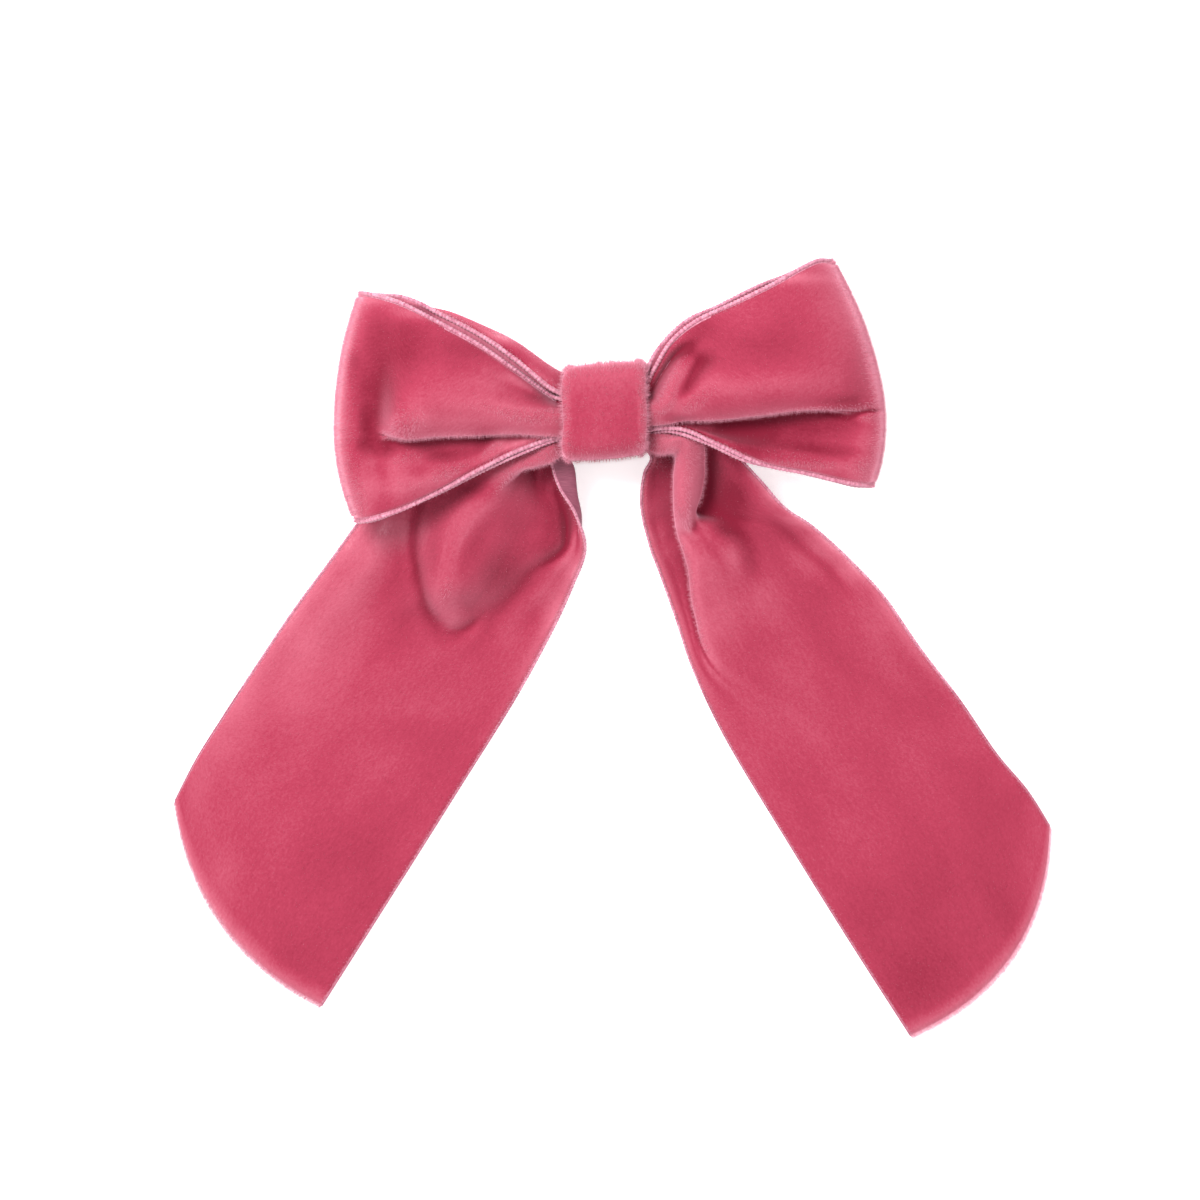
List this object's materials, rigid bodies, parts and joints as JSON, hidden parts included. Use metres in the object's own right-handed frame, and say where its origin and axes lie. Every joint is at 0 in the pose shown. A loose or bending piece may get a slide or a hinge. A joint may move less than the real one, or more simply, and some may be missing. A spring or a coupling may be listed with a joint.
{
  "type": "barrette",
  "caption": "Velvet ribbon bow hair barrette: two loops, two hanging tails and a wrapped centre on a hinged spring clip with a squeeze latch.",
  "frame": {"origin": "middle of the clasp arm's flat underside, below the knot, with the barrette lying on its back", "axes": "+X along the clip from its hinge to its latch, -Y the way the tails hang, +Z out of the bow's face"},
  "size_m": [0.1434, 0.1278, 0.0244],
  "materials": {
    "velvet": "dusty rose velvet pile with satin back",
    "thread": "twisted sewing thread",
    "plated_steel": "bright nickel plate",
    "spring_steel": "satin spring steel"
  },
  "bodies": {
    "bow_and_plate": {"loop_ribbon": "velvet", "tail_ribbon": "velvet", "centre_wrap": "velvet", "waist_thread": "thread", "end_stitch_left": "thread", "end_stitch_right": "thread", "base_plate": "plated_steel", "hinge_rivet": "plated_steel", "latch_base": "spring_steel", "latch_rivet": "plated_steel"},
    "arm": {"clasp_arm": "plated_steel"},
    "bar": {"tension_bar": "spring_steel"},
    "prong_upper": {"latch_prong_upper": "spring_steel"},
    "prong_lower": {"latch_prong_lower": "spring_steel"}
  },
  "joints": [
    {"name": "arm_hinge", "type": "hinge", "parent": "bow_and_plate", "child": "arm", "pos_m": [-0.03, 0, 0.0042], "axis": [0, 1, 0], "range_deg": [0, 75]},
    {"name": "tension_bar_flex", "type": "hinge", "parent": "arm", "child": "bar", "pos_m": [-0.03, 0, 0.0042], "axis": [0, 1, 0], "range_deg": [-3, 1.2], "stiffness_Nm_per_rad": 0.02},
    {"name": "prong_squeeze_upper", "type": "hinge", "parent": "bow_and_plate", "child": "prong_upper", "pos_m": [0.0274, 0.0022, 0.0055], "axis": [-1, 0, 0], "range_deg": [0, 8], "stiffness_Nm_per_rad": 0.004},
    {"name": "prong_squeeze_lower", "type": "hinge", "parent": "bow_and_plate", "child": "prong_lower", "pos_m": [0.0274, -0.0022, 0.0055], "axis": [1, 0, 0], "range_deg": [0, 8], "stiffness_Nm_per_rad": 0.004}
  ],
  "couplings": [
    {"joint": "prong_squeeze_lower", "follows": "prong_squeeze_upper", "ratio": 1}
  ]
}
